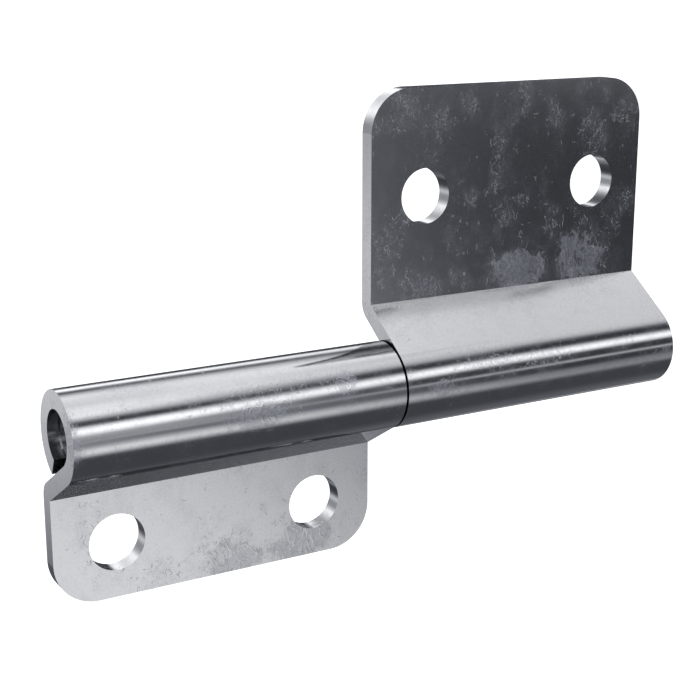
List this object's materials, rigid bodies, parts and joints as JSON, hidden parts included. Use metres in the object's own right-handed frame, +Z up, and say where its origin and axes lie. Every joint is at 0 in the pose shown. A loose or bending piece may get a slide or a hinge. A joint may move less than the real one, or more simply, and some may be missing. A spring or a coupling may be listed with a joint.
{
  "type": "slip hinge",
  "caption": "Slip hinge of folded sheet steel: curled leaves with screw holes on a plain pin, opened flat; the upper leaf swings round the pin and lifts off it.",
  "frame": {"origin": "on the hinge line, the pin's axis, half way between the end faces of the barrels", "axes": "+Z up along the pin, the way the female leaf lifts off; +X towards the free edge of the male leaf; +Y towards the surface that the leaves are screwed to, so -Y is the front, where the barrels stand out"},
  "size_m": [0.0529, 0.0104, 0.0772],
  "materials": {
    "zinc_plated_sheet": "bright zinc plating on rolled steel sheet, with fine tumbling scratches and faint cloudy smears",
    "pin_steel": "drawn steel rod, bright zinc plated, with a turned end face"
  },
  "bodies": {
    "male_leaf": {"male_leaf": "zinc_plated_sheet"},
    "pin": {"pin": "pin_steel"},
    "female_leaf": {"female_leaf": "zinc_plated_sheet"}
  },
  "joints": [
    {"name": "swing", "type": "hinge", "parent": "male_leaf", "child": "pin", "pos_m": [0, 0, 0], "axis": [0, 0, 1], "range_deg": [-90, 180]},
    {"name": "lift_off", "type": "slide", "parent": "pin", "child": "female_leaf", "axis": [0, 0, 1], "range_m": [0, 0.04]}
  ]
}
